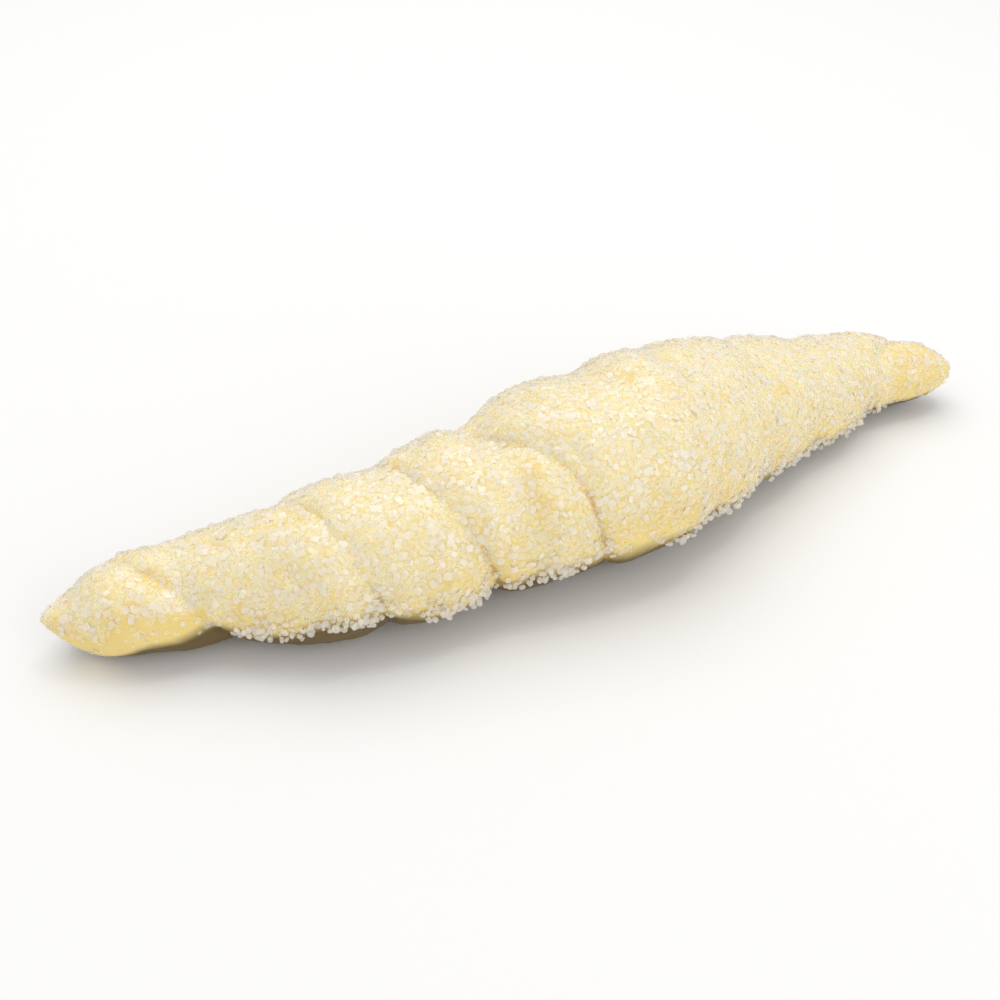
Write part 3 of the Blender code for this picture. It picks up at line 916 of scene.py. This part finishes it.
def rim_crystals(sizes, spacing, draw):
    """Clumps of coarse crystals along the lower front rims: their centres, widths and ways out."""
    centres = []
    widths = []
    ups = []
    for x_low, x_high, middle_angle, clumps in RIM_ROWS:
        for x in np.linspace(x_low, x_high, clumps):
            x = x + draw.uniform(-RIM_JITTER, RIM_JITTER)
            angle = middle_angle + draw.normal(0.0, RIM_SPREAD_ANGLE)
            most = int(draw.integers(RIM_CLUMP_SMALLEST, RIM_CLUMP_LARGEST + 1))
            tries = most * RIM_CLUMP_TRIES
            around = x + draw.normal(0.0, RIM_CLUMP_SPREAD, tries)
            turns = angle + np.degrees(draw.normal(0.0, RIM_CLUMP_SPREAD, tries) / RIM_RADIUS)
            turns = np.minimum(turns, smooth_values(around, UNDERSIDE_EDGE) + RIM_OVERHANG)
            points, _ = surface_points(around, turns, sizes)
            middle = np.stack([around, smooth_values(around, BEND), points[:, 2] + RIM_MIDDLE_DROP], -1)
            outward = points - middle
            outward /= np.linalg.norm(outward, axis=1, keepdims=True)
            spread = np.exp(draw.normal(0.0, RIM_SIZE_SPREAD, len(points)))
            sizes_here = RIM_SIZE_SHARE * sizes.coarse_size * spread
            lift = draw.uniform(RIM_LEAST_LIFT, RIM_MOST_LIFT, len(points)) * sizes_here
            placed = 0
            spots = (points + outward * lift[:, None]).tolist()
            for centre, width, up in zip(spots, sizes_here.tolist(), outward.tolist()):
                if placed < most and spacing.fits(centre, width * RIM_CLOSENESS):
                    spacing.add(centre, width * RIM_CLOSENESS)
                    centres.append(centre)
                    widths.append(width)
                    ups.append(up)
                    placed += 1
    return np.array(centres), np.array(widths), np.array(ups)


def dress(piece, material):
    """Gives a piece its material, and makes it part of the object in place of the plain solid."""
    piece.data.materials.clear()
    piece.data.materials.append(material)
    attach(piece, "root")


class PASTRY_OT_roll_dough(bpy.types.Operator):
    """Rolls the dough, with its wraps, cracks and dents"""
    bl_idname = "pastry.roll_dough"
    bl_label = "Roll Dough"

    def execute(self, context):
        dough = make_dough(context.scene.pastry_sizes)
        dress(dough, dough_material(context.scene.pastry_colors))
        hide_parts("pastry")
        return {"FINISHED"}


class PASTRY_OT_coat_with_sugar(bpy.types.Operator):
    """Coats the dough with clumps on its rims and with milky, coarse, medium and fine sugar"""
    bl_idname = "pastry.coat_with_sugar"
    bl_label = "Coat with Sugar"

    def execute(self, context):
        dough = bpy.data.objects.get(DOUGH)
        if dough is None:
            raise RuntimeError("roll the dough before coating it with sugar")
        sizes = context.scene.pastry_sizes
        colors = context.scene.pastry_colors
        draw = np.random.default_rng(sizes.seed)
        spacing = Spacing(sizes.coarse_size * SPACING_SHARE)
        milky = sugar_material("milky_sugar", colors, sizes.milkiness)
        clear = sugar_material("clear_sugar", colors, sizes.clearness)
        rim = sugar_material("rim_sugar", colors, sizes.rim_milkiness)
        block = block_template(BLOCK_CUT)
        coats = (
            (MILKY_COAT, block, sizes.milky_count, sizes.coarse_size, milky),
            (COARSE_COAT, block, sizes.coarse_count, sizes.coarse_size, clear),
            (MEDIUM_COAT, pebble_template(), sizes.medium_count, sizes.medium_size, clear),
            (FINE_COAT, block_template(0.0), sizes.fine_count, sizes.fine_size, clear),
        )
        worn_and_shaded = block_template(RIM_CUT)
        dress(make_crystals("sugar_rim_clumps", worn_and_shaded, *rim_crystals(sizes, spacing, draw), 0.0, draw), rim)
        for (name, tries, closeness, sunk, topmost), template, count, width, material in coats:
            placed = spread_crystals(dough, spacing, count, tries, width, closeness, sunk, topmost, draw)
            dress(make_crystals(name, template, *placed, sizes.flatness, draw), material)
        return {"FINISHED"}


def add_area(name, place, width, power, color):
    """A square soft lamp that faces the middle of the roll."""
    lamp = bpy.data.lights.new(name, "AREA")
    lamp.size = width
    lamp.energy = power
    lamp.color = color
    made = bpy.data.objects.new(name, lamp)
    made.location = place
    made.rotation_euler = (Vector(LAMP_TARGET) - Vector(place)).to_track_quat("-Z", "Y").to_euler()
    bpy.context.scene.collection.objects.link(made)


class PASTRY_OT_set_stage(bpy.types.Operator):
    """Sets the plain floor, the soft light and the camera"""
    bl_idname = "pastry.set_stage"
    bl_label = "Set Stage"

    def execute(self, context):
        scene = context.scene
        stage = scene.pastry_stage
        corners = FLOOR_HALF * np.array([(-1, -1, 0), (1, -1, 0), (1, 1, 0), (-1, 1, 0)])
        floor = new_object("floor", corners, [(0, 1, 2, 3)])
        made, _, shader = new_material("plain_floor")
        shader.inputs["Base Color"].default_value = (*scene.pastry_colors.floor, 1.0)
        shader.inputs["Roughness"].default_value = FLOOR_ROUGHNESS
        floor.data.materials.append(made)
        add_area("key_lamp", KEY_PLACE, KEY_WIDTH, stage.key_power, KEY_COLOR)
        add_area("fill_lamp", FILL_PLACE, FILL_WIDTH, stage.fill_power, FILL_COLOR)
        add_area("glint_lamp", GLINT_PLACE, GLINT_WIDTH, stage.glint_power, GLINT_COLOR)
        world = bpy.data.worlds.new("even_sky")
        world.use_nodes = True
        world.node_tree.nodes["Background"].inputs["Color"].default_value = (1.0, 1.0, 1.0, 1.0)
        world.node_tree.nodes["Background"].inputs["Strength"].default_value = stage.sky
        scene.world = world
        camera = bpy.data.objects.new("camera", bpy.data.cameras.new("camera"))
        camera.data.lens = stage.lens
        camera.data.sensor_width = SENSOR_WIDTH
        camera.data.clip_start = CLIP_START
        camera.data.clip_end = CLIP_END
        camera.location = stage.camera_place
        camera.rotation_euler = (math.pi / 2 - stage.camera_elevation, 0.0, stage.camera_azimuth)
        scene.collection.objects.link(camera)
        scene.camera = camera
        scene.view_settings.view_transform = "Standard"
        return {"FINISHED"}


class PASTRY_PT_panel(bpy.types.Panel):
    """Sizes, colours and steps of the sugared pastry roll"""
    bl_label = "Sugared Pastry Roll"
    bl_space_type = "VIEW_3D"
    bl_region_type = "UI"
    bl_category = "Pastry"

    def draw(self, context):
        scene = context.scene
        for group in (scene.pastry_sizes, scene.pastry_colors, scene.pastry_stage):
            box = self.layout.box()
            for name in group.__annotations__:
                box.prop(group, name)
        for operator in STEPS:
            self.layout.operator(operator.bl_idname)


STEPS = (PASTRY_OT_set_stage, PASTRY_OT_roll_dough, PASTRY_OT_coat_with_sugar)
GROUPS = {"pastry_sizes": PastrySizes, "pastry_colors": PastryColors, "pastry_stage": PastryStage}


def register():
    """Makes the panel, the operators and the sizes and colours known to Blender."""
    for kind in (*GROUPS.values(), *STEPS, PASTRY_PT_panel):
        bpy.utils.register_class(kind)
    for name, kind in GROUPS.items():
        setattr(bpy.types.Scene, name, PointerProperty(type=kind))


def unregister():
    """Takes them out again."""
    for name in GROUPS:
        delattr(bpy.types.Scene, name)
    for kind in (PASTRY_PT_panel, *reversed(STEPS), *reversed(GROUPS.values())):
        bpy.utils.unregister_class(kind)


def main():
    """Runs every step in order."""
    register()
    bpy.ops.pastry.set_stage()
    bpy.ops.pastry.roll_dough()
    bpy.ops.pastry.coat_with_sugar()


if __name__ == "__main__":
    main()
